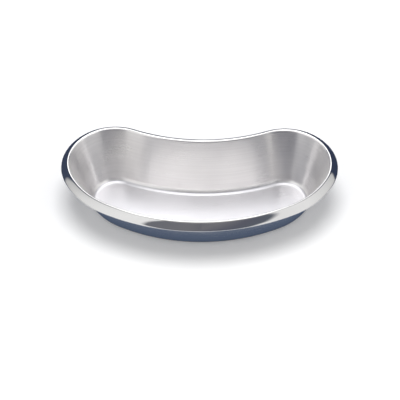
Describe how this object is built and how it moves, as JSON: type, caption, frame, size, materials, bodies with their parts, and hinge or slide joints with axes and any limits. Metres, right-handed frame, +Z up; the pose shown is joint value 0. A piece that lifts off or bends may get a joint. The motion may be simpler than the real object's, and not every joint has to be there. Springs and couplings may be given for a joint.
{
  "type": "kidney dish",
  "caption": "Kidney-shaped stainless steel dish with a flat floor, leaning walls and a rolled rim, for instruments and dressings.",
  "frame": {"origin": "on the surface the dish stands on, under the middle of its length and width", "axes": "+X along the dish's length, +Y towards the hollow side of the kidney, +Z up"},
  "size_m": [0.254, 0.1276, 0.0508],
  "materials": {
    "satin_steel": "satin, with a fine brushed grain inside",
    "polished_steel": "mirror polished"
  },
  "bodies": {
    "root": {"bowl": "satin_steel", "rolled_rim": "polished_steel"}
  },
  "joints": []
}
